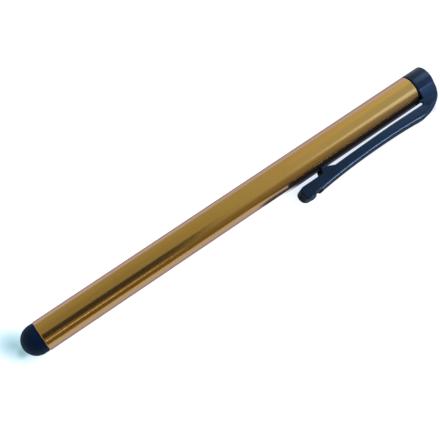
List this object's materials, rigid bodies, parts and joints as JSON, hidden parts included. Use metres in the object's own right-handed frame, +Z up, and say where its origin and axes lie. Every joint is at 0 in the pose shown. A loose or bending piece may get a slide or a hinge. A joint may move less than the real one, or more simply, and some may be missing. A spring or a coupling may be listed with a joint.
{
  "type": "stylus pen",
  "caption": "Slim capacitive stylus pen: metal tube with a soft rubber dome tip, a flush plastic end cap and a sprung pocket clip that bends open at its root.",
  "frame": {"origin": "middle of the underside of the lying pen's box, on the table", "axes": "+X along the barrel from the rubber tip to the cap, +Z up, clip towards -Y resting on the table"},
  "size_m": [0.1086, 0.012, 0.007],
  "materials": {
    "barrel": "satin bronze-gold anodised",
    "black_plastic": "semi-gloss moulded",
    "tip_rubber": "matte conductive rubber",
    "core_plastic": "plain moulded"
  },
  "bodies": {
    "pen": {"barrel": "barrel", "end_cap": "black_plastic", "tip_core": "core_plastic"},
    "clip_arm": {"clip": "black_plastic"},
    "nib": {"tip": "tip_rubber"}
  },
  "joints": [
    {"name": "clip_flex", "type": "hinge", "parent": "pen", "child": "clip_arm", "pos_m": [0.04815, -0.00339, 0.00243], "axis": [0, -0.1785, 0.9839], "range_deg": [0, 4], "stiffness_Nm_per_rad": 0.7},
    {"name": "tip_press", "type": "slide", "parent": "pen", "child": "nib", "axis": [1, 0, 0], "range_m": [0, 0.001], "stiffness_N_per_m": 1000, "deforming": ["tip"]}
  ]
}
